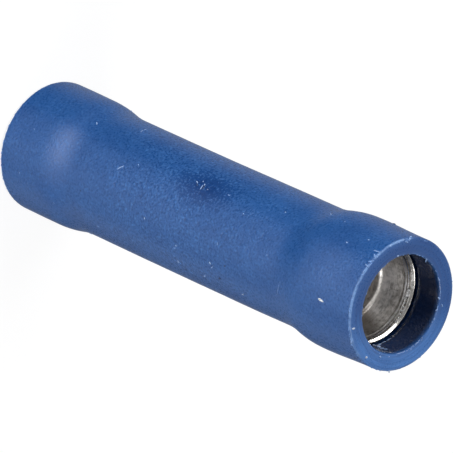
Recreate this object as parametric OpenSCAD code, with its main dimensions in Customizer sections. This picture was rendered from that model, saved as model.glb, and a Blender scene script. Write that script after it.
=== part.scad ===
// Butt splice connector: a crimp barrel inside an insulating sleeve, which joins two wires end to end.
// It stands on its lower mouth, with its axis along +Z and its origin at the middle of that mouth.

/* [Sleeve] */
// Length of the sleeve from mouth to mouth
sleeve_length = 25; // [20:0.1:32]
// Thickness of the sleeve where it covers the barrel
sleeve_wall = 0.68; // [0.4:0.02:1.2]
// Bore of the sleeve at its mouths, where the wire's own insulation goes in
mouth_bore = 4.7; // [4:0.05:4.9]
// Length over which the sleeve closes in from the barrel's rim to the bore of the mouth
mouth_taper = 0.4; // [0.1:0.05:0.6]
// Rounding of the sleeve's cut edges
edge_round = 0.08; // [0.02:0.01:0.12]

/* [Barrel] */
// Depth of the barrel's rims behind the mouths of the sleeve, with the barrel in the middle
rim_depth = 1.35; // [1:0.05:2.5]
// How far the middle of the barrel lies below the middle of the sleeve
barrel_drop = 0.46; // [0:0.02:0.5]
// Outside diameter of the barrel between its bells
barrel_diameter = 4.42; // [4:0.02:4.6]
// Bore that the bare wire goes into
wire_bore = 2.6; // [1.8:0.1:3]

/* [Bell mouths] */
// How far a bell stands out from the barrel all around
bell_swell = 0.25; // [0.1:0.01:0.5]
// Straight length of a bell behind its rim
bell_land = 1.73; // [0.5:0.05:2.5]
// Length over which a bell narrows to the barrel
bell_taper = 2.34; // [1:0.05:4]
// Thickness of the barrel behind the bevel of its rim
rim_wall = 0.16; // [0.08:0.01:0.4]
// Width of the flat face that the bevel leaves on the rim
rim_face = 0.04; // [0.02:0.01:0.06]
// Depth of the bevel on the inner edge of the rim
rim_bevel = 0.1; // [0.04:0.02:0.2]

/* [Funnels] */
// Depth of the funnel from the rim to the wire bore
funnel_depth = 2.4; // [1.5:0.1:4]
// Depth of the shoulder, where the bell has turned in and the funnel steps down
shoulder_depth = 1.3; // [0.8:0.05:1.35]
// How far the funnel steps in at the shoulder
shoulder_step = 0.16; // [0.04:0.02:0.3]
// Length of the slope of that step
shoulder_slope = 0.08; // [0.04:0.02:0.12]
// How far the lead below the shoulder narrows down to the wire bore
lead_taper = 0.26; // [0.1:0.02:0.4]

/* [Wire stop] */
// Opening left through the stop
stop_bore = 1.4; // [0.6:0.1:1.6]
// Radius of the groove rolled around the barrel to raise the stop
groove_radius = 0.6; // [0.4:0.05:1]

/* [Serrations] */
// Number of grooves in each wire bore that bite on the crimped wire
serration_count = 3; // [1:1:4]
// Distance from one groove to the next
serration_pitch = 1.2; // [0.6:0.1:1.6]
// Width of a groove at the wall of the bore
serration_width = 0.36; // [0.1:0.02:0.46]
// Depth of a groove into the wall
serration_depth = 0.12; // [0.04:0.02:0.3]

/* [Fit] */
// Gap left all around between the barrel and the sleeve
seat_gap = 0.05; // [0.02:0.01:0.1]

/* [Hidden] */
$fn = 180;

sleeve_blue = "#3e629c";
tinned_grey = "#a9a49a";

barrel_r = barrel_diameter / 2;
bell_r = barrel_r + bell_swell;
rim_inner_r = bell_r - rim_wall;
bore_r = wire_bore / 2;
lead_r = bore_r + lead_taper;
shoulder_r = lead_r + shoulder_step;
mouth_r = mouth_bore / 2;
barrel_wall = barrel_r - bore_r;
barrel_length = sleeve_length - 2 * rim_depth;
barrel_middle = sleeve_length / 2 - barrel_drop;
lower_rim = barrel_middle - barrel_length / 2;
upper_rim = barrel_middle + barrel_length / 2;
sleeve_end_r = bell_r + seat_gap + sleeve_wall;

// The rolled groove keeps the thickness of the wall, so the stop is an arc around the groove's own centre.
groove_centre_r = stop_bore / 2 + barrel_wall + groove_radius;
stop_r = groove_radius + barrel_wall;
stop_reach = sqrt(stop_r * stop_r - pow(groove_centre_r - bore_r, 2));

// Middle of one wire bore, between the stop and the funnel, from the middle of the barrel
bore_middle = (stop_reach + barrel_length / 2 - funnel_depth) / 2;

// Half-section of a bar that swells at both ends as the bells do, with two equal arcs between the thin and
// the thick part. The thick ends run on past the rims.
module swelled_section(thin_r, thick_r) {
    land_start = barrel_length / 2 - bell_land;
    taper_start = land_start - bell_taper;
    half_run = bell_taper / 2;
    half_rise = (thick_r - thin_r) / 2;
    arc_r = (half_run * half_run + half_rise * half_rise) / (2 * half_rise);
    translate([0, barrel_middle])
        for (flip = [0, 1])
            mirror([0, flip]) {
                square([thin_r, land_start]);
                difference() {
                    translate([0, taper_start]) square([thin_r + half_rise, half_run]);
                    translate([thin_r + arc_r, taper_start]) circle(arc_r);
                }
                intersection() {
                    translate([0, taper_start + half_run]) square([thick_r, half_run]);
                    translate([thick_r - arc_r, land_start]) circle(arc_r);
                }
                translate([0, land_start]) square([thick_r, sleeve_length / 2]);
            }
}

// Half-section of everything between two heights, out to a radius
module span_section(low, high, r) {
    translate([0, low]) square([r, high - low]);
}

// What a rounded edge takes off the corner of a section that points along +X and +Y
module rounded_corner(r) {
    difference() {
        square(2 * r);
        circle(r);
    }
}

// The outside of the sleeve follows the barrel under it at the thickness of the sleeve.
module sleeve_outside() {
    intersection() {
        swelled_section(barrel_r + seat_gap + sleeve_wall, sleeve_end_r);
        span_section(0, sleeve_length, sleeve_end_r);
    }
}

// The seat of the barrel, with the sleeve closing in over both rims
module sleeve_inside() {
    seat_r = bell_r + seat_gap;
    low = lower_rim - seat_gap;
    high = upper_rim + seat_gap;
    intersection() {
        swelled_section(barrel_r + seat_gap, seat_r);
        span_section(low, high, seat_r);
    }
    polygon([[0, high], [seat_r, high], [mouth_r, high + mouth_taper], [0, high + mouth_taper]]);
    polygon([[0, low], [seat_r, low], [mouth_r, low - mouth_taper], [0, low - mouth_taper]]);
    span_section(-edge_round, low, mouth_r);
    span_section(high, sleeve_length + edge_round, mouth_r);
}

// The outer and the inner edge of both cut ends
module cut_edges() {
    translate([0, sleeve_length / 2])
        for (flip = [0, 1])
            mirror([0, flip])
                translate([0, sleeve_length / 2 - edge_round]) {
                    translate([sleeve_end_r - edge_round, 0]) rounded_corner(edge_round);
                    translate([mouth_r + edge_round, 0]) mirror([1, 0]) rounded_corner(edge_round);
                }
}

// Insulating sleeve: a vinyl tube drawn tight over the barrel, open at both ends
module insulating_sleeve() {
    color(sleeve_blue)
        rotate_extrude()
            difference() {
                sleeve_outside();
                sleeve_inside();
                cut_edges();
            }
}

// Half-section of one funnel, with heights from the middle of the barrel: the bevel of the rim, a bell that
// turns in along an arc, the shoulder, and a lead down to the wire bore. It runs on past the rim.
module funnel_section() {
    rim = barrel_length / 2;
    bell_start = rim - rim_bevel;
    shoulder = rim - shoulder_depth;
    bell_run = bell_start - shoulder;
    turn_in = rim_inner_r - shoulder_r;
    arc_r = (bell_run * bell_run + turn_in * turn_in) / (2 * turn_in);
    intersection() {
        span_section(shoulder, bell_start, rim_inner_r);
        translate([rim_inner_r - arc_r, bell_start]) circle(arc_r);
    }
    polygon([
        [0, rim - funnel_depth],
        [bore_r, rim - funnel_depth],
        [lead_r, shoulder - shoulder_slope],
        [shoulder_r, shoulder],
        [shoulder_r, bell_start],
        [rim_inner_r, bell_start],
        [bell_r - rim_face, rim],
        [bell_r - rim_face, rim + rim_depth],
        [0, rim + rim_depth]
    ]);
}

// The way through the barrel: a funnel at each rim, the wire bores, and the stop that stands into them
module barrel_inside() {
    difference() {
        translate([0, barrel_middle])
            for (flip = [0, 1])
                mirror([0, flip]) {
                    square([bore_r, barrel_length / 2]);
                    funnel_section();
                }
        translate([groove_centre_r, barrel_middle]) circle(stop_r);
    }
}

// V grooves around both wire bores
module serrations() {
    first = -(serration_count - 1) / 2 * serration_pitch;
    for (end = [-1, 1], i = [0 : serration_count - 1])
        translate([bore_r, barrel_middle + end * bore_middle + first + i * serration_pitch])
            polygon([
                [-serration_depth, -serration_width],
                [serration_depth, 0],
                [-serration_depth, serration_width]
            ]);
}

// Crimp barrel: a tinned copper tube with bell mouths, and a stop rolled in at its middle
module crimp_barrel() {
    color(tinned_grey)
        rotate_extrude()
            difference() {
                intersection() {
                    swelled_section(barrel_r, bell_r);
                    span_section(lower_rim, upper_rim, bell_r);
                }
                barrel_inside();
                serrations();
                translate([groove_centre_r, barrel_middle]) circle(groove_radius);
            }
}

insulating_sleeve();
crimp_barrel();
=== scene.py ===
import math
import random

import bpy
from mathutils import Matrix, Quaternion, Vector


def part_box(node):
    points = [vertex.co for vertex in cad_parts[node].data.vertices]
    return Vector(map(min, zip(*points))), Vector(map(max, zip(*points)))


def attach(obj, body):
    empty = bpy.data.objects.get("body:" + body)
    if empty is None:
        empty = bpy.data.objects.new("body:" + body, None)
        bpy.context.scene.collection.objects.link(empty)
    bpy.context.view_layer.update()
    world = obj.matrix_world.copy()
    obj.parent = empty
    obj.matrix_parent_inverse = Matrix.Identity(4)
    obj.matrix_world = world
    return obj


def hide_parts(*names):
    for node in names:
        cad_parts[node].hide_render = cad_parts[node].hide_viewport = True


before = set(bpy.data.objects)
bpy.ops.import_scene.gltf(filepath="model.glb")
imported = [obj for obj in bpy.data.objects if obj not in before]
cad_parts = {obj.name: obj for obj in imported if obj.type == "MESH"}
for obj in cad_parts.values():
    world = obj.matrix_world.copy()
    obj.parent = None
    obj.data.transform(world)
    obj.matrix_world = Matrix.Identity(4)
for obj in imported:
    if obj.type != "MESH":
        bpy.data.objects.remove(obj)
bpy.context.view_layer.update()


# Insulating sleeve
# One length of blue vinyl tube, softened and drawn over the barrel, so it swells over both bells.
# Both ends are cut off square with a knife, which leaves a pale, slightly torn edge.

MM = 0.001

sleeve_low, sleeve_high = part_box("insulating_sleeve")
sleeve_length = (sleeve_high[2] - sleeve_low[2]) / MM
sleeve_middle = sleeve_length / 2
sleeve_end_r = sleeve_high[1] / MM   # outside, over the bells
sleeve_waist_r = 2.94       # outside, between the bells
mouth_r = 2.35
seat_end_r = 2.51           # inside, around the bells
seat_waist_r = 2.26
cut_round = 0.08            # rounding of the outer cut edges
mouth_round = 0.09          # rounding of the inner cut edges
cut_dish = 0.03             # how far the cut face sinks towards the mouth
low_swell = (2.62, 4.96)    # heights where the lower swell ends and begins
high_swell = (21.46, 19.12)
low_seat = (0.44, 0.84)     # heights of the cone that closes in over the lower rim
high_seat = (23.64, 23.24)
sleeve_bow = 0.075          # how far both ends lean to one side of a straight line
cut_slant = 0.06            # how far a cut end rises on its +X side and falls on its -X side
sleeve_steps = 320          # steps around the axis
# The cut edge is rolled over at the back: its drop, the radius where it begins, and how far down it reaches
roll_drop, roll_from, roll_reach = 0.03, 2.9, 0.4
# Height, half length and rise of the places where the softened tube swells a little or closes in
bulges = ((22.0, 1.5, 0.06), (25.0, 1.6, -0.01), (16.0, 2.5, 0.01), (1.2, 1.6, 0.01))


def span(start, end, steps):
    """Points on a straight line of a section, without its first point."""
    return [
        (start[0] + (end[0] - start[0]) * i / steps, start[1] + (end[1] - start[1]) * i / steps)
        for i in range(1, steps + 1)
    ]


def rounding(centre, radius, start, end, steps):
    """Points on an arc of a section, from one angle to another in degrees, without its first point."""
    turns = [math.radians(start + (end - start) * i / steps) for i in range(1, steps + 1)]
    return [(centre[0] + radius * math.cos(t), centre[1] + radius * math.sin(t)) for t in turns]


def swell(start, end, steps):
    """Points on two equal arcs that leave both ends along the axis, without the first point."""
    (r0, z0), (r1, z1) = start, end
    half_run, half_rise = abs(z1 - z0) / 2, abs(r1 - r0) / 2
    arc_r = (half_run ** 2 + half_rise ** 2) / (2 * half_rise)
    points = []
    for i in range(1, steps + 1):
        t = i / steps
        u = min(t, 1 - t) * 2 * half_run
        rise = math.copysign(arc_r - math.sqrt(arc_r ** 2 - u ** 2), r1 - r0)
        points.append((r0 + rise if t <= 0.5 else r1 - rise, z0 + (z1 - z0) * t))
    return points


def follow(points, lines):
    """Goes on from the last point of a section. A line has its kind, its end and its number of steps."""
    points = list(points)
    for kind, end, steps in lines:
        points += kind(points[-1], end, steps)
    return points


def drawn(point):
    """A point of the section with the bulges at its height. The inner walls stay as they are."""
    r, z = point
    share = min(1.0, max(0.0, (r - seat_end_r) / (sleeve_waist_r - seat_end_r)))
    return r + share * sum(rise * math.exp(-((z - place) / half) ** 2) for place, half, rise in bulges), z


def sleeve_end(top, side):
    """A cut end from the mouth to the outside, at a height, facing up (side 1) or down (side -1)."""
    rim = top - side * cut_dish
    s = [(mouth_r, rim - side * mouth_round)]
    s += rounding((mouth_r + mouth_round, rim - side * mouth_round), mouth_round, 180 * side, 90 * side, 4)
    s += span(s[-1], (sleeve_end_r - cut_round, top), 10)
    s += rounding((sleeve_end_r - cut_round, top - side * cut_round), cut_round, 90 * side, 0, 6)
    return s


def sleeve_section():
    """Closed half-section as (radius, height): from the upper mouth outwards, down, and back up inside."""
    low_end = sleeve_end(0, -1)[::-1]
    s = follow(sleeve_end(sleeve_length, 1), (
        (span, (sleeve_end_r, high_swell[0]), 22),
        (swell, (sleeve_waist_r, high_swell[1]), 22),
        (span, (sleeve_waist_r, low_swell[1]), 70),
        (swell, (sleeve_end_r, low_swell[0]), 22),
        (span, low_end[0], 16),
    ))
    s = follow(s + low_end[1:], (
        (span, (mouth_r, low_seat[0]), 3),
        (span, (seat_end_r, low_seat[1]), 3),
        (span, (seat_end_r, low_swell[0]), 4),
        (swell, (seat_waist_r, low_swell[1]), 8),
        (span, (seat_waist_r, high_swell[1]), 16),
        (swell, (seat_end_r, high_swell[0]), 8),
        (span, (seat_end_r, high_seat[1]), 4),
        (span, (mouth_r, high_seat[0]), 3),
    ))
    s += span(s[-1], s[0], 10)[:-1]
    return [drawn(point) for point in s]


def add_node(tree, kind, settings=None, inputs=None):
    """Adds a node and sets its properties and inputs. A socket, or a node by its first output, is linked."""
    made = tree.nodes.new(kind)
    for name, value in (settings or {}).items():
        setattr(made, name, value)
    for name, value in (inputs or {}).items():
        if isinstance(value, bpy.types.Node):
            value = value.outputs[0]
        if isinstance(value, bpy.types.NodeSocket):
            tree.links.new(value, made.inputs[name])
        else:
            made.inputs[name].default_value = value
    return made


def new_tree(name, inputs, kinds):
    """A tree with named inputs, numbers where no other kind is given, and the identifiers of its inputs."""
    tree = bpy.data.node_groups.new(name, "GeometryNodeTree")
    sockets = {}
    for label in inputs:
        kind = "NodeSocket" + kinds.get(label, "Float")
        sockets[label] = tree.interface.new_socket(label, in_out="INPUT", socket_type=kind).identifier
    tree.interface.new_socket("Mesh", in_out="OUTPUT", socket_type="NodeSocketGeometry")
    return tree, sockets, add_node(tree, "NodeGroupInput").outputs


def end_tree(tree, geometry, material):
    """Ends a tree with one plain mesh, shaded smooth, in a material."""
    real = add_node(tree, "GeometryNodeRealizeInstances", inputs={0: geometry})
    smooth = add_node(tree, "GeometryNodeSetShadeSmooth", inputs={0: real})
    painted = add_node(tree, "GeometryNodeSetMaterial", inputs={0: smooth, "Material": material})
    add_node(tree, "NodeGroupOutput", inputs={0: painted})


def turned_tree():
    """Turns a closed half-section around the axis, bows the tube, and makes its skin and cut edges uneven."""
    tree, sockets, given = new_tree("turned_tube", (
        "Section", "Steps round", "Turning radius", "Middle", "Half length", "Bow", "Wave", "Wave length",
        "Tear", "Tear width", "Tear reach", "Seed", "Slant", "Roll drop", "Roll from", "Roll to",
        "Roll reach", "Material",
    ), {"Section": "Geometry", "Steps round": "Int", "Material": "Material"})

    section = add_node(tree, "GeometryNodeMeshToCurve", inputs={"Mesh": given["Section"]})
    circle = add_node(tree, "GeometryNodeCurvePrimitiveCircle", inputs={
        "Resolution": given["Steps round"], "Radius": given["Turning radius"]})
    tube = add_node(tree, "GeometryNodeCurveToMesh", inputs={"Curve": circle, "Profile Curve": section})

    place = add_node(tree, "GeometryNodeInputPosition")
    axes = add_node(tree, "ShaderNodeSeparateXYZ", inputs={0: place}).outputs
    flat = add_node(tree, "ShaderNodeCombineXYZ", inputs={0: axes[0], 1: axes[1]})
    outward = add_node(tree, "ShaderNodeVectorMath", {"operation": "NORMALIZE"}, {0: flat})
    radius = add_node(tree, "ShaderNodeVectorMath", {"operation": "LENGTH"}, {0: flat}).outputs["Value"]

    # How far a point lies from the middle, squared from 0 to 1 at a cut end, and from the nearer cut end
    up = add_node(tree, "ShaderNodeMath", {"operation": "SUBTRACT"}, {0: axes[2], 1: given["Middle"]})
    share = add_node(tree, "ShaderNodeMath", {"operation": "DIVIDE"}, {0: up, 1: given["Half length"]})
    square = add_node(tree, "ShaderNodeMath", {"operation": "MULTIPLY"}, {0: share, 1: share})
    lean = add_node(tree, "ShaderNodeMath", {"operation": "MULTIPLY"}, {0: square, 1: given["Bow"]})
    lean_back = add_node(tree, "ShaderNodeMath", {"operation": "MULTIPLY"}, {0: lean, 1: -1.0})
    side = add_node(tree, "ShaderNodeMath", {"operation": "SIGN"}, {0: up})
    far = add_node(tree, "ShaderNodeMath", {"operation": "ABSOLUTE"}, {0: up})
    left = add_node(tree, "ShaderNodeMath", {"operation": "SUBTRACT"}, {0: given["Half length"], 1: far})

    # The knife came in at the front (-Y), where it tore the edge, and rolled it over at the back
    turn = add_node(tree, "ShaderNodeSeparateXYZ", inputs={0: outward}).outputs
    at_back = add_node(tree, "ShaderNodeMapRange", {"interpolation_type": "SMOOTHSTEP"}, {
        "Value": turn[1], "From Min": -0.5, "From Max": 0.0, "To Min": 0.0, "To Max": 1.0})
    out_by = add_node(tree, "ShaderNodeMapRange", inputs={
        "Value": radius, "From Min": given["Roll from"], "From Max": given["Roll to"],
        "To Min": 0.0, "To Max": 1.0})
    by_edge = add_node(tree, "ShaderNodeMapRange", {"interpolation_type": "SMOOTHSTEP"}, {
        "Value": left, "From Min": given["Roll reach"], "From Max": 0.0,
        "To Min": 0.0, "To Max": given["Roll drop"]})
    rolled = out_by
    for factor in (out_by, at_back, by_edge, side, -1.0):
        rolled = add_node(tree, "ShaderNodeMath", {"operation": "MULTIPLY"}, {0: rolled, 1: factor})
    slope = add_node(tree, "ShaderNodeMath", {"operation": "MULTIPLY"}, {0: axes[0], 1: given["Slant"]})
    lifted = add_node(tree, "ShaderNodeMath", {"operation": "MULTIPLY_ADD"}, {0: slope, 1: square, 2: rolled})
    bow = add_node(tree, "ShaderNodeCombineXYZ", inputs={0: lean_back, 2: lifted})

    # Long waves all over, and tears only within their reach of a cut end, both along the radius
    torn = add_node(tree, "ShaderNodeMapRange", inputs={"Value": at_back, "To Min": 1.0, "To Max": 0.25})
    near = add_node(tree, "ShaderNodeMapRange", {"interpolation_type": "SMOOTHSTEP"}, {
        "Value": left, "From Min": given["Tear reach"], "From Max": 0.0, "To Min": 0.0, "To Max": torn})
    offsets = []
    for length, height, power in (
        (given["Wave length"], given["Wave"], 1.0),
        (given["Tear width"], given["Tear"], near),
    ):
        scale = add_node(tree, "ShaderNodeMath", {"operation": "DIVIDE"}, {0: 1.0, 1: length})
        noise = add_node(tree, "ShaderNodeTexNoise", {"noise_dimensions": "4D"}, {
            "Vector": place, "W": given["Seed"], "Scale": scale, "Detail": 2.0})
        centred = add_node(tree, "ShaderNodeMath", {"operation": "SUBTRACT"}, {0: noise, 1: 0.5})
        high = add_node(tree, "ShaderNodeMath", {"operation": "MULTIPLY"}, {0: centred, 1: height})
        offsets.append(add_node(tree, "ShaderNodeMath", {"operation": "MULTIPLY"}, {0: high, 1: power}))
    both = add_node(tree, "ShaderNodeMath", {"operation": "ADD"}, {0: offsets[0], 1: offsets[1]})
    swollen = add_node(tree, "ShaderNodeVectorMath", {"operation": "SCALE"}, {0: outward, "Scale": both})
    shift = add_node(tree, "ShaderNodeVectorMath", {"operation": "ADD"}, {0: swollen, 1: bow})

    # Where a point lay in the straight tube, for the material
    marked = tube
    for name, value in (("from_cut", left), ("from_axis", radius)):
        marked = add_node(
            tree, "GeometryNodeStoreNamedAttribute", {"data_type": "FLOAT", "domain": "POINT"},
            {"Geometry": marked, "Name": name, "Value": value})
    moved = add_node(tree, "GeometryNodeSetPosition", inputs={"Geometry": marked, "Offset": shift})
    end_tree(tree, moved, given["Material"])
    return tree, sockets


tube_tree, tube_sockets = turned_tree()


def settle(name, start_mesh, tree, values):
    """Runs a tree on a start mesh and keeps the result as a plain mesh object at the origin."""
    maker = bpy.data.objects.new(name + "_maker", start_mesh)
    bpy.context.scene.collection.objects.link(maker)
    run = maker.modifiers.new("shape", "NODES")
    run.node_group = tree
    for identifier, value in values.items():
        run[identifier] = value
    seen = maker.evaluated_get(bpy.context.evaluated_depsgraph_get())
    mesh = bpy.data.meshes.new_from_object(seen)
    mesh.name = name
    maker.modifiers.remove(run)
    bpy.data.objects.remove(maker)
    piece = bpy.data.objects.new(name, mesh)
    bpy.context.scene.collection.objects.link(piece)
    return piece


def turned(name, section, radius, steps, material, uneven):
    """A tube turned from a half-section in millimetres."""
    mesh = bpy.data.meshes.new(name + "_section")
    count = len(section)
    points = [((r - radius) * MM, -z * MM, 0) for r, z in section]
    mesh.from_pydata(points, [(i, (i + 1) % count) for i in range(count)], [])
    values = {
        "Steps round": steps, "Turning radius": radius * MM, "Middle": sleeve_middle * MM,
        "Half length": sleeve_length / 2 * MM, "Bow": sleeve_bow * MM, "Material": material}
    values.update(uneven)
    return settle(name, mesh, tube_tree, {tube_sockets[k]: v for k, v in values.items()})


def way(turn, outward, round_about, upward):
    """A way at a turn from the front (-Y) to +X, by its parts outwards, around the axis and along it."""
    t = math.radians(turn)
    radial = Vector((math.sin(t), -math.cos(t), 0))
    around = Vector((math.cos(t), math.sin(t), 0))
    return radial * outward + around * round_about + Vector((0, 0, upward))


def linear(code):
    """An sRGB hex colour as linear RGBA."""
    parts = [int(code[i:i + 2], 16) / 255 for i in (1, 3, 5)]
    return [c / 12.92 if c <= 0.04045 else ((c + 0.055) / 1.055) ** 2.4 for c in parts] + [1.0]


def new_material(name):
    """A material with only its shader and its output."""
    made = bpy.data.materials.new(name)
    made.use_nodes = True
    made.node_tree.nodes.clear()
    shader = add_node(made.node_tree, "ShaderNodeBsdfPrincipled")
    add_node(made.node_tree, "ShaderNodeOutputMaterial", inputs={"Surface": shader})
    return made, made.node_tree, shader


def ringed(tree, facing, along, pitch, change):
    """A pattern of rings around the axis, at a pitch along a length, which changes on its way around."""
    rings = add_node(tree, "ShaderNodeMath", {"operation": "DIVIDE"}, {0: along, 1: pitch * MM})
    rings = add_node(tree, "ShaderNodeCombineXYZ", inputs={2: rings})
    turn = add_node(tree, "ShaderNodeVectorMath", {"operation": "SCALE"}, {0: facing, "Scale": change})
    place = add_node(tree, "ShaderNodeVectorMath", {"operation": "ADD"}, {0: turn, 1: rings})
    return add_node(tree, "ShaderNodeTexNoise", inputs={
        "Vector": place, "Scale": 1.0, "Detail": 3.0, "Roughness": 0.6})


# Plasticised PVC, extruded and then softened: an even satin skin with a fine orange peel, a faint cloudiness
# in the dye, and pale stressed edges where the knife went through, partly painted highlights. Glints and
# shade on the grain, light and shade on the cut faces, shade in the mouth and part of a rubbed patch's
# darkness are painted as well.
vinyl_blue = "#2860a7"
vinyl_deep = "#22579c"
# a painted highlight on the cut faces and on the edge of the mouth
vinyl_pale_highlight = "#4374bc"
# knife streaks, and painted shade on the front of the cut faces
vinyl_dark_streak_and_shade = "#1d4f92"
# painted glints on the crests of the grain
vinyl_glint = "#568ed5"
# painted shade in the hollows of the grain
vinyl_pit_shade = "#0f3a74"
# painted light on the side of the cut faces towards the right lamp
vinyl_lit_side = "#4d84ce"
# stressed vinyl on the torn outer edges, with a painted highlight at the front
vinyl_torn_and_highlight = "#7ba6e0"
# a rubbed patch, painted darker partly as shade
vinyl_rubbed_and_shaded = "#114083"
# painted shade on the wall of the mouth
vinyl_inside_shade = "#0d244e"
vinyl_ior = 1.53

cut_r = drawn((sleeve_end_r, sleeve_length))[0]   # outside of the tube at a cut
rub_height, rub_turn = 13.1, -25   # middle of a rubbed patch, painted darker partly as shade
rub_squash = (1.0, 1.0, 0.5)   # the patch is longer along the sleeve
grain_height = 12           # where the grain stands out most
lit_side_turn = 112            # side of the cut faces that is painted lighter, towards the right lamp
streak_pitch = 0.12         # from one knife streak to the next
streak_change = 1.6         # how much a streak changes on its way around
peel_depth = 0.022

vinyl, tree, shader = new_material("soft_vinyl_drawn_satin")
where = add_node(tree, "ShaderNodeTexCoord").outputs["Object"]
axes = add_node(tree, "ShaderNodeSeparateXYZ", inputs={0: where}).outputs
across = add_node(tree, "ShaderNodeCombineXYZ", inputs={0: axes[0], 1: axes[1]})
facing = add_node(tree, "ShaderNodeVectorMath", {"operation": "NORMALIZE"}, {0: across})
to_back = add_node(tree, "ShaderNodeSeparateXYZ", inputs={0: facing}).outputs[1]
from_cut = add_node(tree, "ShaderNodeAttribute", {"attribute_name": "from_cut"}).outputs["Fac"]
from_axis = add_node(tree, "ShaderNodeAttribute", {"attribute_name": "from_axis"}).outputs["Fac"]

# Size, detail and fineness of the cloudy dye, of the grain of the skin, and of the patches on its torn edges.
# Real orange peel on such a tube is about 0.05 mm across. It is drawn at 0.11 mm, so that it shows.
cloud, speckle, patchy = [
    add_node(tree, "ShaderNodeTexNoise", inputs={
        "Vector": where, "Scale": 1 / (size * MM), "Detail": detail, "Roughness": fineness})
    for size, detail, fineness in ((1.8, 3.0, 0.55), (0.11, 1.0, 0.5), (0.45, 3.0, 0.6))
]

# Knife streaks around the axis, and the side of the cut faces that is painted lighter, towards the right lamp
streaks = ringed(tree, facing, from_axis, streak_pitch, streak_change)
knife_side = add_node(tree, "ShaderNodeVectorMath", {"operation": "DOT_PRODUCT"}, {
    0: facing, 1: way(lit_side_turn, 1, 0, 0)}).outputs["Value"]

# Distances from the rubbed patch, and from the height where the grain stands out
rub_place = way(rub_turn, sleeve_waist_r, 0, rub_height) * MM
to_rub = add_node(tree, "ShaderNodeVectorMath", {"operation": "SUBTRACT"}, {0: where, 1: rub_place})
to_rub = add_node(tree, "ShaderNodeVectorMath", {"operation": "MULTIPLY"}, {0: to_rub, 1: rub_squash})
to_rub = add_node(tree, "ShaderNodeVectorMath", {"operation": "LENGTH"}, {0: to_rub}).outputs["Value"]
from_grain = add_node(tree, "ShaderNodeMath", {"operation": "SUBTRACT"}, {0: axes[2], 1: grain_height * MM})
from_grain = add_node(tree, "ShaderNodeMath", {"operation": "ABSOLUTE"}, {0: from_grain})

# What fades in or out: its name, what it goes by, where that starts and ends, and its share at both
soft_fades = (
    # the rubbed patch, painted darker partly as shade
    ("rubbed", to_rub, 0.2 * MM, 1.3 * MM, 0.9, 0.0),
    ("beside_rub", to_rub, 0.4 * MM, 1.4 * MM, 0.7, 1.0),
    ("rub_gloss", to_rub, 0.2 * MM, 1.4 * MM, 0.8, 1.0),
    ("drawn_skin", from_cut, 0.09 * MM, 0.14 * MM, 0.0, 1.0),
    ("grainy", from_grain, 1.5 * MM, 8 * MM, 0.8, 0.42),
    ("bumpy", cloud, 0.35, 0.65, 0.35, 1.0),
    ("cut_face", from_cut, 0.04 * MM, 0.12 * MM, 1.0, 0.0),
    ("dark_streaks", streaks, 0.62, 0.35, 0.35, 1.0),
    ("pale_streaks", streaks, 0.3, 0.65, 0.4, 1.0),
    ("knife_out", knife_side, -0.1, 0.8, 0.0, 0.95),
    ("front", to_back, -0.6, 0.0, 1.0, 0.0),
    ("by_mouth", from_axis, 2.45 * MM, 2.75 * MM, 0.45, 0.0),
    ("by_edge", from_axis, 2.75 * MM, 3.10 * MM, 0.0, 0.4),
    # the pale torn outer edge: stressed vinyl, with a painted highlight strongest at the front
    ("edge_top", from_cut, 0.13 * MM, 0.02 * MM, 0.0, 1.0),
    ("edge_side", from_axis, (cut_r - 0.12) * MM, (cut_r - 0.04) * MM, 0.0, 1.0),
    ("edge_front", to_back, -0.6, -0.2, 1.0, 0.1),
    ("edge_patches", patchy, 0.4, 0.58, 0.25, 1.0),
    # pale patches on the edge of the mouth: stressed vinyl with a painted highlight
    ("lip_side", from_axis, (mouth_r + 0.13) * MM, (mouth_r + 0.05) * MM, 0.0, 1.0),
    ("lip_top", from_cut, 0.16 * MM, 0.08 * MM, 0.0, 0.7),
    ("lip_patches", patchy, 0.42, 0.6, 0.2, 1.0),
    ("mouth_shade", from_cut, 0.1 * MM, 0.35 * MM, 0.0, 0.85),
)
even_fades = (
    # painted glints on the crests of the grain
    ("glint", speckle, 0.54, 0.80, 0.0, 1.0),
    # painted shade in the hollows of the grain
    ("pit", speckle, 0.5, 0.08, 0.0, 1.0),
    ("skin_gloss", speckle, 0.3, 0.7, 0.25, 0.34),
    ("mouth_wall", from_axis, 2.56 * MM, 2.60 * MM, 1.0, 0.0),
    ("wall_gloss", from_axis, 2.56 * MM, 2.60 * MM, 0.35, 1.0),
)
fades = {}
for curve, rows in (("SMOOTHSTEP", soft_fades), ("LINEAR", even_fades)):
    for name, value, start, end, low, high in rows:
        fades[name] = add_node(tree, "ShaderNodeMapRange", {"interpolation_type": curve}, {
            "Value": value, "From Min": start, "From Max": end, "To Min": low, "To Max": high})

# Where several fades meet. The front of a cut face has painted shade by the mouth and a painted highlight at
# its outer edge, as if it were rounded over. The wall of the mouth is painted dark as the shade of the tube,
# and is smooth.
shares = {}
for name, meeting in (
    ("rub", ("rubbed",)),
    ("glints", ("glint", "grainy", "drawn_skin", "beside_rub")),
    ("pits", ("pit", "grainy", "drawn_skin")),
    ("knife_streaks", ("cut_face", "dark_streaks")),
    ("knife_side", ("cut_face", "knife_out", "pale_streaks")),
    ("front_inside", ("cut_face", "front", "by_mouth")),
    ("front_outside", ("cut_face", "front", "by_edge")),
    ("torn_edge", ("edge_top", "edge_side", "edge_front", "edge_patches")),
    ("lip", ("lip_side", "lip_top", "lip_patches")),
    ("mouth", ("mouth_wall", "mouth_shade")),
    ("gloss", ("skin_gloss", "wall_gloss", "rub_gloss")),
    ("peel", ("bumpy", "drawn_skin")),
):
    shares[name] = fades[meeting[0]]
    for other in meeting[1:]:
        shares[name] = add_node(tree, "ShaderNodeMath", {"operation": "MULTIPLY"}, {
            0: shares[name], 1: fades[other]})

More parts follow.
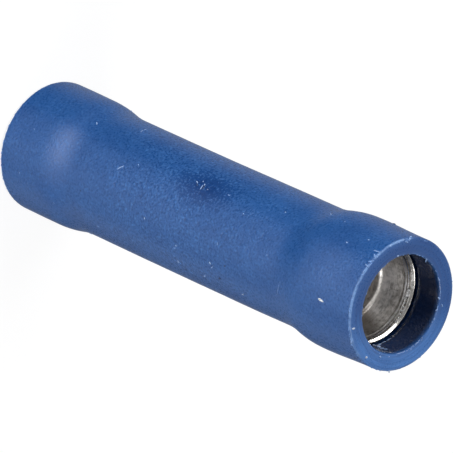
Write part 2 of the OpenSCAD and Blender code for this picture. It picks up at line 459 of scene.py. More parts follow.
# The colours, laid one over the other
skin = add_node(tree, "ShaderNodeValToRGB", inputs={"Fac": cloud})
for stop, (position, colour) in zip(skin.color_ramp.elements, ((0.32, vinyl_deep), (0.68, vinyl_blue))):
    stop.position = position
    stop.color = linear(colour)
for name, colour in (
    ("rub", vinyl_rubbed_and_shaded), ("glints", vinyl_glint), ("pits", vinyl_pit_shade), ("knife_streaks", vinyl_dark_streak_and_shade),
    ("knife_side", vinyl_lit_side), ("front_inside", vinyl_dark_streak_and_shade), ("front_outside", vinyl_pale_highlight),
    ("torn_edge", vinyl_torn_and_highlight), ("lip", vinyl_pale_highlight), ("mouth", vinyl_inside_shade),
):
    skin = add_node(tree, "ShaderNodeMix", {"data_type": "RGBA"}, {
        0: shares[name], 6: skin, 7: linear(colour)}).outputs[2]
tree.links.new(skin, shader.inputs["Base Color"])
tree.links.new(shares["gloss"].outputs[0], shader.inputs["Roughness"])
shader.inputs["IOR"].default_value = vinyl_ior
peel = add_node(tree, "ShaderNodeBump", inputs={
    "Height": speckle, "Strength": shares["peel"], "Distance": peel_depth * MM})
tree.links.new(peel.outputs[0], shader.inputs["Normal"])

sleeve = turned("vinyl_sleeve", sleeve_section(), sleeve_waist_r, sleeve_steps, vinyl, {
    "Wave": 0.022 * MM, "Wave length": 2.6 * MM, "Tear": 0.07 * MM, "Tear width": 0.16 * MM,
    "Tear reach": 0.11 * MM, "Seed": 3.0, "Slant": cut_slant / sleeve_end_r, "Roll drop": roll_drop * MM,
    "Roll from": roll_from * MM, "Roll to": sleeve_end_r * MM, "Roll reach": roll_reach * MM})
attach(sleeve, "root")
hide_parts("insulating_sleeve")


# Crimp barrel
# A length of copper tube, tinned, with both ends belled out and a stop rolled in around its middle.
# Grooves inside grip the crimped wire, and the sleeve holds it by its bells.

barrel_low, barrel_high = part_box("crimp_barrel")
barrel_middle = (barrel_low[2] + barrel_high[2]) / 2 / MM
rim_reach = (barrel_high[2] - barrel_low[2]) / 2 / MM   # from the middle to a rim
bell_r = barrel_high[1] / MM
barrel_waist_r = 2.21
rim_inner_r = 2.30
bore_r = 1.3
rim_round = 0.02
bevel_width, bevel_depth = 0.12, 0.10   # the rubbed inner edge of the rim
bell_power = 1.9            # how late the bell turns in
shoulder_depth = 1.40       # behind the rim, where the funnel drops over a step to the bore
shoulder_r, shoulder_foot_r, shoulder_run = 1.67, 1.53, 0.07
funnel_deep = 2.4
funnel_steps = 150
soft_step, soft_count = 0.012, 3   # the funnel's corners are softened over so many steps to each side
bell_shoulder = 9.42        # from the middle to where a bell is straight
bell_foot = 7.08
groove_places = (3.778, 4.978, 6.178)
groove_half, groove_deep = 0.18, 0.12
roll_centre_r, roll_r, stop_round = 2.21, 0.6, 1.51
# Depth behind the rim and height of the rings that the belling tool left, and half the width of one
lip_rings = ((0.15, 0.014), (0.22, -0.016), (0.29, 0.018), (0.36, -0.018), (0.44, 0.014), (0.53, -0.008))
lip_ring_half = 0.03
barrel_steps = 190          # steps around the axis


def funnel_radius(depth):
    """Radius of the funnel at a depth behind the rim: a bell that turns in, a steep step, and a lead."""
    step_end = shoulder_depth + shoulder_run
    if depth < shoulder_depth:
        return rim_inner_r - (rim_inner_r - shoulder_r) * (depth / shoulder_depth) ** bell_power
    if depth < step_end:
        return shoulder_r + (shoulder_foot_r - shoulder_r) * (depth - shoulder_depth) / shoulder_run
    lead = min(1, (depth - step_end) / (funnel_deep - step_end))
    return shoulder_foot_r + (bore_r - shoulder_foot_r) * lead


def half_inside():
    """The inside of the upper half, from the middle of the stop to the rim, with heights from the middle."""
    stop_end = math.sqrt(stop_round ** 2 - (roll_centre_r - bore_r) ** 2)
    stop_turn = math.degrees(math.asin(stop_end / stop_round))
    s = [(roll_centre_r - stop_round, 0)]
    s += rounding((roll_centre_r, 0), stop_round, 180, 180 - stop_turn, 16)
    for place in groove_places:
        s = follow(s, (
            (span, (bore_r, place - groove_half), 3),
            (span, (bore_r + groove_deep, place), 3),
            (span, (bore_r, place + groove_half), 3),
        ))
    s += span(s[-1], (bore_r, rim_reach - funnel_deep), 8)
    for i in range(1, funnel_steps + 1):
        depth = funnel_deep + (bevel_depth - funnel_deep) * i / funnel_steps
        nearby = [funnel_radius(depth + d * soft_step) for d in range(-soft_count, soft_count + 1)]
        r = sum(nearby) / len(nearby)
        for place, height in lip_rings:
            r -= height * math.exp(-((depth - place) / lip_ring_half) ** 2)
        s.append((r, rim_reach - depth))
    s += span(s[-1], (rim_inner_r + bevel_width, rim_reach), 6)
    return s


def half_outside():
    """The outside of the upper half, from the rim down to the middle of the rolled groove."""
    s = span((rim_inner_r + bevel_width, rim_reach), (bell_r - rim_round, rim_reach), 2)
    s += rounding((bell_r - rim_round, rim_reach - rim_round), rim_round, 90, 0, 4)
    s = follow(s, (
        (span, (bell_r, bell_shoulder), 6),
        (swell, (barrel_waist_r, bell_foot), 12),
        (span, (barrel_waist_r, roll_r), 10),
    ))
    s += rounding((roll_centre_r, 0), roll_r, 90, 180, 12)
    return s


def barrel_section():
    """Closed half-section: from the middle of the stop up inside, and around to the lower half."""
    upper = half_inside() + half_outside()
    lower = [(r, -z) for r, z in reversed(upper)][1:-1]
    return [(r, z + barrel_middle) for r, z in upper + lower]


# Electro-tinned copper, drawn and turned: a warm grey metal with fine rings around the axis,
# and a brown cast deeper in, where the tin is thin over the copper.
tin_light = "#eceae7"
tin_dark = "#9a9691"
tin_thin = "#94785f"
tin_painted_shade = "#625a52"
ring_pitch = 0.09           # from one drawing line to the next
ring_change = 2.2           # how much a line changes on its way around
smudge_size = 0.22
smudge_share = 0.7          # of the mottled tone, the rest being the lines
score_depth, score_strength = 0.008, 0.5
# Turn, radius, depth and reach of the patches of painted shade in the upper funnel, the second one on its
# shoulder
painted_shade_patches = ((130, 2.03, 0.95, 1.1), (138, 1.67, 1.40, 0.72))
shade_core, shade_share = 0.2, 0.75

tin, tree, shader = new_material("tinned_copper_drawn")
where = add_node(tree, "ShaderNodeTexCoord").outputs["Object"]
axes = add_node(tree, "ShaderNodeSeparateXYZ", inputs={0: where}).outputs
across = add_node(tree, "ShaderNodeCombineXYZ", inputs={0: axes[0], 1: axes[1]})
reach = add_node(tree, "ShaderNodeVectorMath", {"operation": "LENGTH"}, {0: across}).outputs["Value"]
facing = add_node(tree, "ShaderNodeVectorMath", {"operation": "NORMALIZE"}, {0: across})
up = add_node(tree, "ShaderNodeMath", {"operation": "SUBTRACT"}, {0: axes[2], 1: barrel_middle * MM})
up = add_node(tree, "ShaderNodeMath", {"operation": "ABSOLUTE"}, {0: up})

# Real drawing lines are a few hundredths of a millimetre apart. They are drawn at 0.09 mm, so that they show.
along = add_node(tree, "ShaderNodeMath", {"operation": "ADD"}, {0: axes[2], 1: reach})
lines = ringed(tree, facing, along, ring_pitch, ring_change)
smudge = add_node(tree, "ShaderNodeTexNoise", inputs={
    "Vector": where, "Scale": 1 / (smudge_size * MM), "Detail": 4.0, "Roughness": 0.65})
mottle = add_node(tree, "ShaderNodeMix", {"data_type": "FLOAT"}, {0: smudge_share, 2: lines, 3: smudge})

# What fades in or out, as on the sleeve. No tool reached below the shoulder, so the tin is still rough there.
fades = {}
for name, curve, value, start, end, low, high in (
    ("deep", "LINEAR", up, (rim_reach - 0.5) * MM, (rim_reach - 1.3) * MM, 0.0, 0.35),
    ("worn", "LINEAR", smudge, 0.42, 0.7, 0.0, 1.0),
    ("dull", "LINEAR", lines, 0.3, 0.7, 0.50, 0.36),
    ("rubbed", "LINEAR", up, (rim_reach - 0.5) * MM, (rim_reach - 0.2) * MM, 1.0, 0.4),
    ("untouched", "SMOOTHSTEP", up, (rim_reach - 1.42) * MM, (rim_reach - 1.52) * MM, 0.0, 0.9),
):
    fades[name] = add_node(tree, "ShaderNodeMapRange", {"interpolation_type": curve}, {
        "Value": value, "From Min": start, "From Max": end, "To Min": low, "To Max": high})

toned = add_node(tree, "ShaderNodeValToRGB", inputs={"Fac": mottle})
for stop, (position, colour) in zip(toned.color_ramp.elements, ((0.38, tin_dark), (0.60, tin_light))):
    stop.position = position
    stop.color = linear(colour)
thin = add_node(tree, "ShaderNodeMath", {"operation": "MULTIPLY"}, {0: fades["deep"], 1: fades["worn"]})
metal = add_node(tree, "ShaderNodeMix", {"data_type": "RGBA"}, {
    0: thin, 6: toned, 7: linear(tin_thin)}).outputs[2]
# patches of painted shade, darkening the low side of the funnel and its shoulder
for shade_turn, shade_r, shade_depth, shade_reach in painted_shade_patches:
    patch = way(shade_turn, shade_r, 0, barrel_middle + rim_reach - shade_depth) * MM
    to_shade = add_node(tree, "ShaderNodeVectorMath", {"operation": "DISTANCE"}, {0: where, 1: patch})
    shaded_share = add_node(tree, "ShaderNodeMapRange", {"interpolation_type": "SMOOTHSTEP"}, {
        "Value": to_shade.outputs["Value"], "From Min": shade_core * MM, "From Max": shade_reach * MM,
        "To Min": shade_share, "To Max": 0.0})
    metal = add_node(tree, "ShaderNodeMix", {"data_type": "RGBA"}, {
        0: shaded_share, 6: metal, 7: linear(tin_painted_shade)}).outputs[2]
tree.links.new(metal, shader.inputs["Base Color"])
shader.inputs["Metallic"].default_value = 1.0
finish = add_node(tree, "ShaderNodeMath", {"operation": "MULTIPLY"}, {0: fades["dull"], 1: fades["rubbed"]})
finish = add_node(tree, "ShaderNodeMath", {"operation": "MAXIMUM"}, {0: finish, 1: fades["untouched"]})
tree.links.new(finish.outputs[0], shader.inputs["Roughness"])
scored = add_node(tree, "ShaderNodeBump", inputs={
    "Height": lines, "Strength": score_strength, "Distance": score_depth * MM})
tree.links.new(scored.outputs[0], shader.inputs["Normal"])

barrel = turned("tinned_barrel", barrel_section(), barrel_waist_r, barrel_steps, tin, {
    "Wave": 0.012 * MM, "Wave length": 1.2 * MM, "Tear": 0.0, "Tear width": 1.0 * MM,
    "Tear reach": 0.1 * MM, "Seed": 8.0, "Slant": 0.0, "Roll drop": 0.0,
    "Roll from": 1.0 * MM, "Roll to": bell_r * MM, "Roll reach": 1.0 * MM})
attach(barrel, "root")
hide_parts("crimp_barrel")


# Burrs on the cut edges
# Thin shreds of the same vinyl that the knife pulled out of both cut ends.
# They hang on the outer edges, and stand as teeth on the edges of the mouths.
# Pale streaks on the wall of the upper mouth, painted reflections of the bright rim, go with them.


def shred_tree():
    """Sets a bent shred on the point of a surface nearest to each place, with its own way and size."""
    tree, sockets, given = new_tree(
        "shreds_on_surface", ("Places", "Surface", "Stand out", "Curl", "Seed", "Material"),
        {"Places": "Geometry", "Surface": "Object", "Seed": "Int", "Material": "Material"})
    lie, reach, thick = [
        add_node(
            tree, "GeometryNodeInputNamedAttribute", {"data_type": kind}, {"Name": name}).outputs["Attribute"]
        for name, kind in (("lie", "FLOAT_VECTOR"), ("reach", "FLOAT"), ("thick", "FLOAT"))
    ]
    wall = add_node(tree, "GeometryNodeObjectInfo", inputs={"Object": given["Surface"]}).outputs["Geometry"]
    nearest = add_node(tree, "GeometryNodeProximity", {"target_element": "FACES"}, {0: wall})
    out = add_node(tree, "ShaderNodeMath", {"operation": "MULTIPLY"}, {0: reach, 1: given["Stand out"]})
    out = add_node(tree, "ShaderNodeVectorMath", {"operation": "SCALE"}, {0: lie, "Scale": out})
    seated = add_node(tree, "GeometryNodeSetPosition", inputs={
        "Geometry": given["Places"], "Position": nearest.outputs["Position"], "Offset": out})

    ball = add_node(tree, "GeometryNodeMeshUVSphere", inputs={"Segments": 6, "Rings": 6, "Radius": 0.5})
    place = add_node(tree, "GeometryNodeInputPosition")
    height = add_node(tree, "ShaderNodeSeparateXYZ", inputs={0: place}).outputs[2]
    square = add_node(tree, "ShaderNodeMath", {"operation": "MULTIPLY"}, {0: height, 1: height})
    bend = add_node(tree, "ShaderNodeMath", {"operation": "MULTIPLY"}, {0: square, 1: given["Curl"]})
    bend = add_node(tree, "ShaderNodeCombineXYZ", inputs={0: bend})
    shred = add_node(tree, "GeometryNodeSetPosition", inputs={"Geometry": ball, "Offset": bend})

    along = add_node(tree, "FunctionNodeAlignRotationToVector", {"axis": "Z"}, {"Vector": lie})
    spin = add_node(tree, "FunctionNodeRandomValue", {"data_type": "FLOAT_VECTOR"}, {
        0: (0, 0, 0), 1: (0, 0, math.tau), "Seed": given["Seed"]})
    spin = add_node(tree, "FunctionNodeEulerToRotation", inputs={0: spin})
    spun = add_node(tree, "FunctionNodeRotateRotation", {"rotation_space": "LOCAL"}, {0: along, 1: spin})
    size = add_node(tree, "ShaderNodeCombineXYZ", inputs={0: thick, 1: thick, 2: reach})
    set_out = add_node(tree, "GeometryNodeInstanceOnPoints", inputs={
        "Points": seated, "Instance": shred, "Rotation": spun, "Scale": size})
    end_tree(tree, set_out, given["Material"])
    return tree, sockets


shreds, shred_sockets = shred_tree()


def scattered(name, places, surface, stand_out, curl, seed, material):
    """Shreds on a surface. A place has its point, way, length, thickness and paleness, in metres."""
    mesh = bpy.data.meshes.new(name + "_places")
    mesh.from_pydata([place[0] for place in places], [], [])
    lie = mesh.attributes.new("lie", "FLOAT_VECTOR", "POINT")
    lie.data.foreach_set("vector", [c for place in places for c in place[1].normalized()])
    for index, label in ((2, "reach"), (3, "thick"), (4, "pale")):
        carried = mesh.attributes.new(label, "FLOAT", "POINT")
        carried.data.foreach_set("value", [place[index] for place in places])
    values = {"Surface": surface, "Stand out": stand_out, "Curl": curl, "Seed": seed, "Material": material}
    return settle(name, mesh, shreds, {shred_sockets[k]: v for k, v in values.items()})


def laid(radius, height, turn, length, thickness, lean, paleness):
    """The place of a shred that lies along a round wall and leans from the axis."""
    slant = math.radians(lean)
    lie = way(turn, 0, math.sin(slant), math.cos(slant))
    return way(turn, radius, 0, height) * MM, lie, length * MM, thickness * MM, paleness


# Torn vinyl, white where it was stretched and the blue of the sleeve where it was not, and dull.
shred_dark = "#12284f"
shred_blue = "#7aa5e2"
shred_pale = "#b6d3ff"
shred_white = "#f6fbff"
torn_vinyl, tree, shader = new_material("torn_vinyl_dull")
pale = add_node(tree, "ShaderNodeAttribute", {"attribute_name": "pale"}).outputs["Fac"]
shade = add_node(tree, "ShaderNodeValToRGB", inputs={"Fac": pale})
shade.color_ramp.elements[0].color = linear(shred_dark)
shade.color_ramp.elements[1].color = linear(shred_white)
shade.color_ramp.elements.new(0.5).color = linear(shred_blue)
shade.color_ramp.elements.new(0.74).color = linear(shred_pale)
tree.links.new(shade.outputs[0], shader.inputs["Base Color"])
stretched = add_node(tree, "ShaderNodeMapRange", inputs={"Value": pale, "To Min": 0.45, "To Max": 0.65})
tree.links.new(stretched.outputs[0], shader.inputs["Roughness"])
shader.inputs["IOR"].default_value = vinyl_ior

# Turn, radius, length, thickness, way (outwards, around, upwards) and paleness of the burrs on the upper cut
near_burrs = (
    (-66, 3.06, 0.26, 0.10, (1.0, -0.3, 0.1), 0.58), (-61, 3.14, 0.24, 0.08, (-0.5, -1.0, 0.1), 0.56),
    (-57, 3.14, 0.18, 0.06, (0.2, 1.0, 0.0), 0.55), (-35, 3.14, 0.40, 0.06, (0.1, 0.2, -1.0), 0.57),
    (-31, 3.15, 0.20, 0.09, (0.0, 0.8, -0.8), 0.52), (-28, 3.15, 0.26, 0.09, (0.0, -0.5, -0.9), 0.55),
    (-25, 3.15, 0.24, 0.09, (0.0, 0.6, -0.8), 0.52), (-22, 3.15, 0.18, 0.07, (0.0, 1.0, -0.7), 0.52),
    (-18, 3.15, 0.26, 0.07, (0.0, -0.3, -0.9), 0.57), (-12, 3.15, 0.16, 0.06, (0.0, 0.8, -0.8), 0.52),
    (38, 3.06, 0.20, 0.10, (-1.0, 0.1, 0.3), 0.88), (48, 3.12, 0.20, 0.06, (0.2, 1.0, -0.2), 0.62),
    (53, 3.14, 0.16, 0.05, (0.1, 0.6, -1.0), 0.58), (73, 2.87, 0.12, 0.12, (0.0, 1.0, 0.1), 0.92),
    (110, 3.05, 0.16, 0.08, (1.0, 0.1, 0.1), 0.86),
)
# The same for the teeth on the edge of the upper mouth
mouth_teeth = (
    (263, 2.42, 0.26, 0.06, (-1.0, -0.3, 0.1), 0.62), (305, 2.50, 0.12, 0.09, (0.0, 1.0, 0.1), 0.74),
    (226, 2.44, 0.16, 0.08, (-0.6, 1.0, 0.1), 0.57), (215, 2.44, 0.14, 0.07, (-0.4, -1.0, 0.1), 0.55),
    (204, 2.45, 0.22, 0.09, (-0.8, 0.6, 0.1), 0.64), (200, 2.55, 0.18, 0.07, (0.6, -1.0, 0.1), 0.58),
    (194, 2.40, 0.16, 0.07, (-0.8, -0.6, 0.1), 0.60), (180, 2.42, 0.14, 0.07, (-0.3, 1.0, 0.1), 0.56),
    (153, 2.42, 0.14, 0.05, (-0.5, 1.0, 0.1), 0.56), (136, 2.42, 0.12, 0.05, (-0.4, 1.0, 0.1), 0.54),
    (90, 2.46, 0.14, 0.09, (0.3, 1.0, 0.1), 0.62), (103, 2.43, 0.12, 0.06, (-0.3, 1.0, 0.1), 0.56),
)
# Pale streaks on the wall of the upper mouth, painted reflections of the bright rim: height, turn, length,
# thickness, lean from the axis and paleness
mouth_wall_reflections = (
    (23.62, 113, 0.24, 0.09, 10, 0.82), (23.80, 114.5, 0.30, 0.09, 5, 0.86),
    (23.92, 112, 0.18, 0.08, 40, 0.76), (24.16, 112, 0.20, 0.06, 70, 0.70),
    (24.32, 114, 0.20, 0.06, 70, 0.64), (23.72, 118, 0.20, 0.05, 60, 0.70),
    (23.58, 122, 0.24, 0.05, 85, 0.66), (23.56, 128, 0.28, 0.05, 85, 0.66),
    (23.52, 136, 0.26, 0.04, 85, 0.60),
)
fine_burrs = 70             # along the outer edge of a cut
fine_teeth = 36             # along the edge of a mouth
edge_inset = 0.02           # from a cut edge to the roots of its fine burrs, across the cut face
edge_below = 0.03           # the same along the axis
draw = random.Random(11)
burrs = []
for turn, radius, length, thickness, lie, paleness in near_burrs + mouth_teeth:
    lie = way(turn, *lie).normalized()
    root = way(turn, radius, 0, sleeve_length)
    burrs.append(((root + lie * length / 2) * MM, lie, length * MM, thickness * MM, paleness))
# painted reflections of the rim, as pale streaks on the wall of the mouth
burrs += [laid(mouth_r, *reflection_streak) for reflection_streak in mouth_wall_reflections]
for top, side in ((sleeve_length, 1), (0, -1)):
    for edge_r, outward, count in (
        (cut_r - edge_inset, 1, fine_burrs), (mouth_r + edge_inset, -1, fine_teeth),
    ):
        for i in range(count):
            turn = draw.triangular(-180, 180, 0) if outward > 0 else draw.uniform(0, 360)
            length, thickness = draw.uniform(0.05, 0.15), draw.uniform(0.03, 0.05)
            along = draw.uniform(-1.0, 0.2) * side if outward > 0 else draw.uniform(-0.3, 0.3)
            lie = way(turn, outward * draw.uniform(0.1, 0.5), draw.choice((-1, 1)), along)
            base = way(turn, edge_r, 0, top - side * edge_below) * MM
            burrs.append((base, lie, length * MM, thickness * MM, draw.uniform(0.42, 0.56)))
burr = scattered("cut_edge_burrs", burrs, sleeve, stand_out=0.15, curl=0.6, seed=4, material=torn_vinyl)
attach(burr, "root")


# Scrapes and crumbs on the side of the sleeve
# Small nicks and crumbs of torn vinyl from handling in bulk, pressed into the soft skin.
# The heaviest ones are listed one by one, and the back has a few of the same kind.

# Height, turn, length, thickness, lean from the axis and paleness, in millimetres and degrees
scrapes = (
    (23.06, 23.0, 0.38, 0.13, 8, 1.0), (19.89, 32, 0.80, 0.025, 104, 0.62),
    (6.75, -56, 0.30, 0.03, 70, 0.72), (6.70, -61, 0.20, 0.03, 80, 0.66),
    (4.47, -40, 0.26, 0.05, 35, 0.74), (7.72, -9.5, 0.44, 0.045, -45, 0.74),
    (8.62, -18.7, 0.10, 0.05, 20, 0.72), (12.95, -27.1, 0.20, 0.06, 60, 0.74),
    (12.90, -23.8, 0.26, 0.05, 80, 0.74), (12.43, -26.9, 0.18, 0.06, 20, 0.72),
    (12.70, -30.0, 0.12, 0.04, 50, 0.68), (13.30, -24.5, 0.10, 0.04, 10, 0.66),
    # these two near-black crumbs are painted shadows beside the pale nicks
    (13.00, -25.0, 0.26, 0.06, 70, 0.04), (12.55, -24.6, 0.20, 0.05, 40, 0.06),
    (14.64, -27.9, 0.18, 0.03, 10, 0.66), (10.33, 24.0, 0.12, 0.05, 60, 0.80),
    (6.68, 57.0, 0.14, 0.03, 40, 0.60), (12.62, 36.5, 0.12, 0.05, 15, 0.76),
    (12.50, 40.0, 0.10, 0.04, 60, 0.70), (12.57, 53.9, 0.16, 0.05, 70, 0.78),
    (15.05, 38.2, 0.14, 0.05, 40, 0.80), (15.15, 42.0, 0.20, 0.04, -40, 0.74),
    (14.36, 57.2, 0.12, 0.05, 10, 0.78), (17.04, 58.6, 0.12, 0.06, 0, 0.86),
    (16.20, -17.3, 0.08, 0.05, 0, 0.72), (18.19, -35.9, 0.10, 0.05, 30, 0.78),
    (20.42, -52.5, 0.12, 0.05, 20, 0.68), (22.94, -29.8, 0.10, 0.06, 0, 0.80),
    (23.74, -41.2, 0.10, 0.05, 0, 0.74), (21.67, -48.4, 0.08, 0.05, 0, 0.62),
    (18.75, 7.9, 0.08, 0.04, 0, 0.64), (15.47, 17.3, 0.16, 0.03, 80, 0.62),
    (1.67, -8.3, 0.10, 0.04, 20, 0.60), (1.46, 32.6, 0.10, 0.04, 50, 0.60),
    (3.75, 49.2, 0.10, 0.04, 10, 0.62), (5.67, 25.9, 0.08, 0.07, 0, 0.05),
    (16.11, 34.5, 0.10, 0.08, 0, 0.04), (15.60, 50.7, 0.12, 0.10, 0, 0.0),
    (22.70, -86.0, 0.20, 0.10, 0, 0.05),
)
back_count = 34
back_scrapes = tuple(
    (draw.uniform(1, 24), draw.uniform(95, 265), draw.uniform(0.08, 0.3), draw.uniform(0.03, 0.06),
     draw.uniform(0, 90), draw.choice((0.04, 0.6, 0.66, 0.74, 0.8)))
    for i in range(back_count)
)
crumbs = [laid(sleeve_end_r, *scrape) for scrape in scrapes + back_scrapes]
crumb = scattered("scrape_crumbs", crumbs, sleeve, stand_out=0.0, curl=0.6, seed=9, material=torn_vinyl)
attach(crumb, "root")


# Burrs in the rim of the barrel
# A few bright crumbs of tin that the belling tool left in the lip of the upper funnel.
# They stick in the tin itself.

# Depth behind the rim, turn, length and thickness, in millimetres and degrees
rim_crumbs = (
    (0.24, 194.5, 0.30, 0.24), (0.24, 198.5, 0.26, 0.15), (0.18, 201, 0.24, 0.15), (0.28, 189.5, 0.24, 0.14),
    (0.24, 185, 0.20, 0.11), (0.20, 180, 0.18, 0.10), (0.16, 175, 0.18, 0.10), (0.14, 170, 0.18, 0.11),
    (0.12, 165, 0.18, 0.11), (0.12, 160, 0.18, 0.12),
)
rim_crumb_way = (-0.8, 0.2, 0.6)   # outwards, around and upwards

# Tin torn up by the tool, painted pure white as a glint: a rough metal that shows white from every side, with
# greyer hollows.
tin_glint_white = "#ffffff"
tin_hollow = "#d6d3cf"
hollow_size = 0.06
tin_burr, tree, shader = new_material("tin_torn_rough")
where = add_node(tree, "ShaderNodeTexCoord").outputs["Object"]
tearing = add_node(tree, "ShaderNodeTexNoise", inputs={
    "Vector": where, "Scale": 1 / (hollow_size * MM), "Detail": 2.0, "Roughness": 0.5})
hollow = add_node(tree, "ShaderNodeMapRange", inputs={
    "Value": tearing, "From Min": 0.5, "From Max": 0.3, "To Min": 0.0, "To Max": 1.0})
uneven_tin = add_node(tree, "ShaderNodeMix", {"data_type": "RGBA"}, {
    0: hollow, 6: linear(tin_glint_white), 7: linear(tin_hollow)})
tree.links.new(uneven_tin.outputs[2], shader.inputs["Base Color"])
shader.inputs["Metallic"].default_value = 1.0
torn_dull = add_node(tree, "ShaderNodeMapRange", inputs={
    "Value": tearing, "From Min": 0.3, "From Max": 0.7, "To Min": 0.9, "To Max": 0.7})
tree.links.new(torn_dull.outputs[0], shader.inputs["Roughness"])
tin_places = []
for depth, turn, length, thickness in rim_crumbs:
    base = way(turn, rim_inner_r, 0, barrel_middle + rim_reach - depth) * MM
    tin_places.append((base, way(turn, *rim_crumb_way), length * MM, thickness * MM, 1.0))
rim_burr = scattered("rim_burrs", tin_places, barrel, stand_out=0.35, curl=0.6, seed=5, material=tin_burr)
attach(rim_burr, "root")


# Stage
# A pale floor and soft light for the picture, and the camera at the view of the photo.
# None of it belongs to the connector.

floor_half = 1.2
floor_drop = 0.1 * MM
mesh = bpy.data.meshes.new("floor")
corners = [(x * floor_half, y * floor_half, -floor_drop) for x, y in ((-1, -1), (1, -1), (1, 1), (-1, 1))]
mesh.from_pydata(corners, [], [(0, 1, 2, 3)])
floor = bpy.data.objects.new("floor", mesh)
bpy.context.scene.collection.objects.link(floor)

# Matt pale card. The camera sees it as white, with a faint shadow.
card_tone = 0.6             # as it lights the connector from below
card_shade = 0.22           # how much of its own light and shadow the camera sees
card_white = 0.88           # what it shines with for the camera
card = bpy.data.materials.new("pale_card_matt")
card.use_nodes = True
tree = card.node_tree
tree.nodes.clear()
seen = add_node(tree, "ShaderNodeLightPath").outputs
shown = add_node(tree, "ShaderNodeMath", {"operation": "MULTIPLY"}, {0: seen["Is Camera Ray"], 1: card_white})
tone = add_node(tree, "ShaderNodeMix", {"data_type": "FLOAT"}, {
    0: seen["Is Camera Ray"], 2: card_tone, 3: card_shade})
matt = add_node(tree, "ShaderNodeBsdfDiffuse", inputs={"Color": tone})
white = add_node(tree, "ShaderNodeEmission", inputs={"Strength": shown})
both = add_node(tree, "ShaderNodeAddShader", inputs={0: matt, 1: white})
add_node(tree, "ShaderNodeOutputMaterial", inputs={"Surface": both})
floor.data.materials.append(card)
floor.visible_glossy = False

# The room that shines in the vinyl and the metal: soft-edged cards around the connector, and dim elsewhere.
# A card has its azimuth from the camera's side (-Y) towards +X in degrees, the cosines to it where it begins
# and is full, its strength, the slopes of the view where it begins and is full, and its share at the first.
low_dim, high_dim = 0.02, 0.26
low_cards = (
    (8, 0.42, 1.0, 1.1, -0.93, -0.35, 0.0),
    (-9, 0.76, 1.0, 2.6, -0.75, -0.25, 0.0),
    (-58, 0.6, 0.98, 0.338, -0.75, -0.25, 0.0),
    (62, 0.3, 0.95, 0.42, -0.93, -0.8, 0.55),
    (140, 0.4, 0.95, 0.16, -1.0, 0.0, 1.0),
    (-150, 0.5, 0.95, 0.31, -1.0, 0.0, 1.0),
)
high_cards = (
    (180, 0.3, 0.9, 0.45, 0.0, 1.0, 1.0),
    (38, 0.55, 0.95, 0.60, 0.82, 0.7, 0.0),
)
fill_light = 0.05           # what the room adds on dull surfaces
world = bpy.data.worlds.new("studio_room")
bpy.context.scene.world = world
world.use_nodes = True
tree = world.node_tree
tree.nodes.clear()
seen = add_node(tree, "ShaderNodeLightPath").outputs
looking = add_node(tree, "ShaderNodeTexCoord").outputs["Generated"]
axes = add_node(tree, "ShaderNodeSeparateXYZ", inputs={0: looking}).outputs
flat = add_node(tree, "ShaderNodeCombineXYZ", inputs={0: axes[0], 1: axes[1]})
flat = add_node(tree, "ShaderNodeVectorMath", {"operation": "NORMALIZE"}, {0: flat})
halves = []
for light, cards in ((low_dim, low_cards), (high_dim, high_cards)):
    for azimuth, start, end, strength, low, high, low_share in cards:
        to_card = add_node(tree, "ShaderNodeVectorMath", {"operation": "DOT_PRODUCT"}, {
            0: flat, 1: way(azimuth, 1, 0, 0)})
        wide = add_node(tree, "ShaderNodeMapRange", {"interpolation_type": "SMOOTHSTEP"}, {
            "Value": to_card.outputs["Value"], "From Min": start, "From Max": end,
            "To Min": 0.0, "To Max": strength})
        tall = add_node(tree, "ShaderNodeMapRange", {"interpolation_type": "SMOOTHSTEP"}, {
            "Value": axes[2], "From Min": low, "From Max": high, "To Min": low_share, "To Max": 1.0})
        light = add_node(tree, "ShaderNodeMath", {"operation": "MULTIPLY_ADD"}, {0: wide, 1: tall, 2: light})
    halves.append(light)
rising = add_node(tree, "ShaderNodeMapRange", {"interpolation_type": "SMOOTHSTEP"}, {
    "Value": axes[2], "From Min": -0.02, "From Max": 0.06, "To Min": 0.0, "To Max": 1.0})
mirrored = add_node(tree, "ShaderNodeMix", {"data_type": "FLOAT"}, {0: rising, 2: halves[0], 3: halves[1]})
room = add_node(tree, "ShaderNodeMix", {"data_type": "FLOAT"}, {
    0: seen["Is Glossy Ray"], 2: fill_light, 3: mirrored})
# The camera sees the room as white
plain = add_node(tree, "ShaderNodeMath", {"operation": "MAXIMUM"}, {
    0: seen["Is Camera Ray"], 1: seen["Is Transmission Ray"]})
shown = add_node(tree, "ShaderNodeMix", {"data_type": "FLOAT"}, {0: plain, 2: room, 3: 1.0})
backdrop = add_node(tree, "ShaderNodeBackground", inputs={"Color": (1, 1, 1, 1), "Strength": shown})
add_node(tree, "ShaderNodeOutputWorld", inputs={"Surface": backdrop})

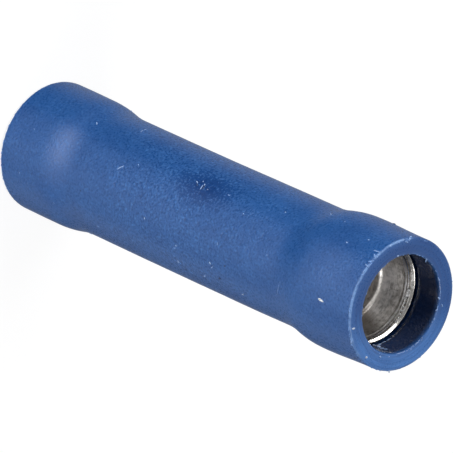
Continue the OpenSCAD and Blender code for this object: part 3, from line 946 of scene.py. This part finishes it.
# Soft rectangular lamps that face a height on the axis: azimuth as above, elevation, distance, width, height,
# radiance, roll and the height that the lamp faces, in degrees and metres
box_aim, strip_aim = sleeve_middle * MM, 4 * MM
for name, azimuth, elevation, distance, width, height, radiance, roll, aim in (
    ("left_box", -85, 41, 0.4, 0.40, 0.08, 8.6, 30, box_aim),
    ("right_box", 100, 62, 0.4, 0.15, 0.15, 6.0, 0, box_aim),
    ("top_box", 0, 84, 0.4, 0.16, 0.16, 2.0, 0, box_aim),
    ("front_strip", 0, 3, 0.12, 0.12, 0.016, 7.4, 0, strip_aim),
    ("front_right_strip", 55, 3, 0.12, 0.12, 0.016, 6.1, 0, strip_aim),
    ("front_left_strip", -55, 3, 0.12, 0.12, 0.016, 3.8, 0, strip_aim),
):
    out = way(azimuth, math.cos(math.radians(elevation)), 0, math.sin(math.radians(elevation)))
    lamp = bpy.data.lights.new(name, "AREA")
    lamp.shape = "RECTANGLE"
    lamp.size, lamp.size_y = width, height
    lamp.energy = radiance * math.pi * width * height
    softbox = bpy.data.objects.new(name, lamp)
    softbox.location = Vector((0, 0, aim)) + out * distance
    softbox.rotation_mode = "QUATERNION"
    softbox.rotation_quaternion = out.to_track_quat("Z", "Y") @ Quaternion((0, 0, 1), math.radians(roll))
    softbox.visible_camera = False
    bpy.context.scene.collection.objects.link(softbox)

camera_elevation, camera_roll = math.radians(44.53), math.radians(114.38)
camera_distance = 401.6 * MM
camera_aim = Vector((-0.02, 0, 12.77)) * MM
lens = bpy.data.cameras.new("camera")
lens.lens, lens.sensor_width = 687.6, 36.0
lens.clip_start, lens.clip_end = 0.01, 10.0
camera = bpy.data.objects.new("camera", lens)
level_right = Vector((1, 0, 0))
level_up = Vector((0, math.sin(camera_elevation), math.cos(camera_elevation)))
right = level_right * math.cos(camera_roll) + level_up * math.sin(camera_roll)
up = level_up * math.cos(camera_roll) - level_right * math.sin(camera_roll)
back = right.cross(up)
turned_to = Matrix((right, up, back)).transposed().to_4x4()
turned_to.translation = camera_aim + back * camera_distance
camera.matrix_world = turned_to
bpy.context.scene.collection.objects.link(camera)
bpy.context.scene.camera = camera
bpy.context.scene.view_settings.view_transform = "Standard"
